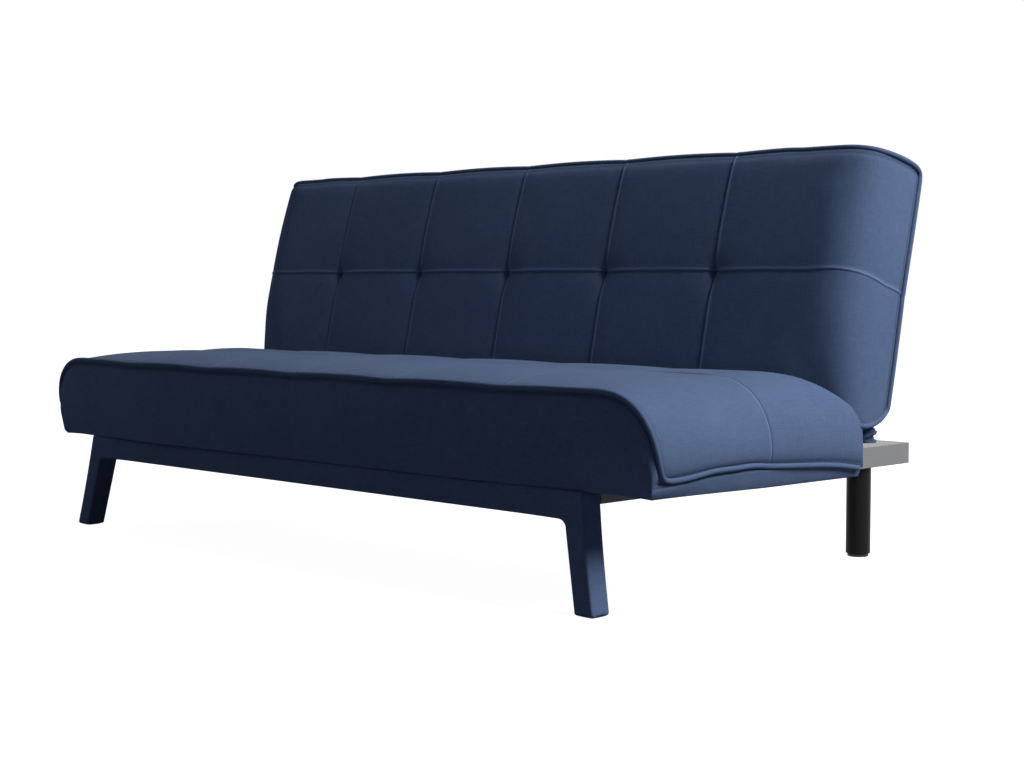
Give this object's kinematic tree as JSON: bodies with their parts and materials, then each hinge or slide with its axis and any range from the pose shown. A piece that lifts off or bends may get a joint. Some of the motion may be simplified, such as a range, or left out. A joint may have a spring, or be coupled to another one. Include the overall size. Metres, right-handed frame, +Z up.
{
  "type": "click clack sofa bed",
  "caption": "Armless upholstered sofa bed with tufted seat and back, splayed covered front legs and steel rails; the back clicks down flat on a ratchet hinge.",
  "frame": {"origin": "on the floor, at the middle of the overall width and depth", "axes": "+X to the left of someone sitting, along the width; +Y to the rear; +Z up"},
  "size_m": [1.816, 1.004, 0.7895],
  "materials": {
    "navy_fabric": "matt woven upholstery cloth over foam",
    "grey_steel": "grey satin powder coat on steel box tube",
    "black_steel": "black satin powder coat",
    "zinc_steel": "zinc plated",
    "timber": "planed softwood, unfinished",
    "black_plastic": "moulded, matt",
    "black_cloth": "thin non-woven dust cloth",
    "webbing": "elastic woven webbing"
  },
  "bodies": {
    "base": {"front_apron": "navy_fabric", "front_leg_right": "navy_fabric", "front_leg_left": "navy_fabric", "front_glide_right": "black_plastic", "front_glide_left": "black_plastic", "rear_glide_right": "black_plastic", "rear_glide_left": "black_plastic", "side_rail_right": "grey_steel", "side_rail_left": "grey_steel", "rear_rail": "grey_steel", "front_cross_rail": "grey_steel", "apron_bracket_right": "zinc_steel", "apron_bracket_left": "zinc_steel", "rear_leg_stud_right": "zinc_steel", "rear_leg_stud_left": "zinc_steel", "rear_leg_right": "black_steel", "rear_leg_left": "black_steel", "hinge_bracket_right": "zinc_steel", "hinge_bracket_left": "zinc_steel", "pivot_bolt_right": "zinc_steel", "pivot_bolt_left": "zinc_steel", "pivot_nut_right": "zinc_steel", "pivot_nut_left": "zinc_steel", "pawl_pin_right": "zinc_steel", "pawl_pin_left": "zinc_steel", "pawl_spring_right": "zinc_steel", "pawl_spring_left": "zinc_steel", "crease_gusset": "navy_fabric"},
    "seat": {"seat_frame_front": "timber", "seat_frame_rear": "timber", "seat_bar_right": "timber", "seat_bar_left": "timber", "seat_end_frame_right": "timber", "seat_end_frame_left": "timber", "seat_spring_1": "zinc_steel", "seat_spring_2": "zinc_steel", "seat_spring_3": "zinc_steel", "seat_spring_4": "zinc_steel", "seat_spring_5": "zinc_steel", "seat_dust_cloth": "black_cloth", "seat_pad": "navy_fabric", "seat_arm_right": "zinc_steel", "seat_arm_left": "zinc_steel"},
    "back": {"back_pad": "navy_fabric", "back_panel": "navy_fabric", "back_stile_right": "timber", "back_stile_left": "timber", "back_top_rail": "timber", "back_foot_rail": "timber", "back_strap_1": "webbing", "back_strap_2": "webbing", "back_strap_3": "webbing", "back_strap_4": "webbing", "back_arm_right": "zinc_steel", "back_arm_left": "zinc_steel"},
    "pawl_right_body": {"pawl_right": "zinc_steel"},
    "pawl_left_body": {"pawl_left": "zinc_steel"}
  },
  "joints": [
    {"name": "seat_lift", "type": "hinge", "parent": "base", "child": "seat", "pos_m": [0, 0.144, 0.2565], "axis": [-1, 0, 0], "range_deg": [0, 12.85], "deforming": ["pawl_spring_right", "pawl_spring_left"]},
    {"name": "back_recline", "type": "hinge", "parent": "base", "child": "back", "pos_m": [0, 0.144, 0.2565], "axis": [-1, 0, 0], "range_deg": [0, 77.1], "deforming": ["crease_gusset"]},
    {"name": "pawl_right_release", "type": "hinge", "parent": "base", "child": "pawl_right_body", "pos_m": [0.6777, 0.203, 0.211], "axis": [1, 0, 0], "range_deg": [0, 10]},
    {"name": "pawl_left_release", "type": "hinge", "parent": "base", "child": "pawl_left_body", "pos_m": [-0.6777, 0.203, 0.211], "axis": [1, 0, 0], "range_deg": [0, 10]}
  ],
  "couplings": [
    {"joint": "pawl_right_release", "follows": "seat_lift", "ratio": 0.778},
    {"joint": "pawl_left_release", "follows": "seat_lift", "ratio": 0.778}
  ]
}
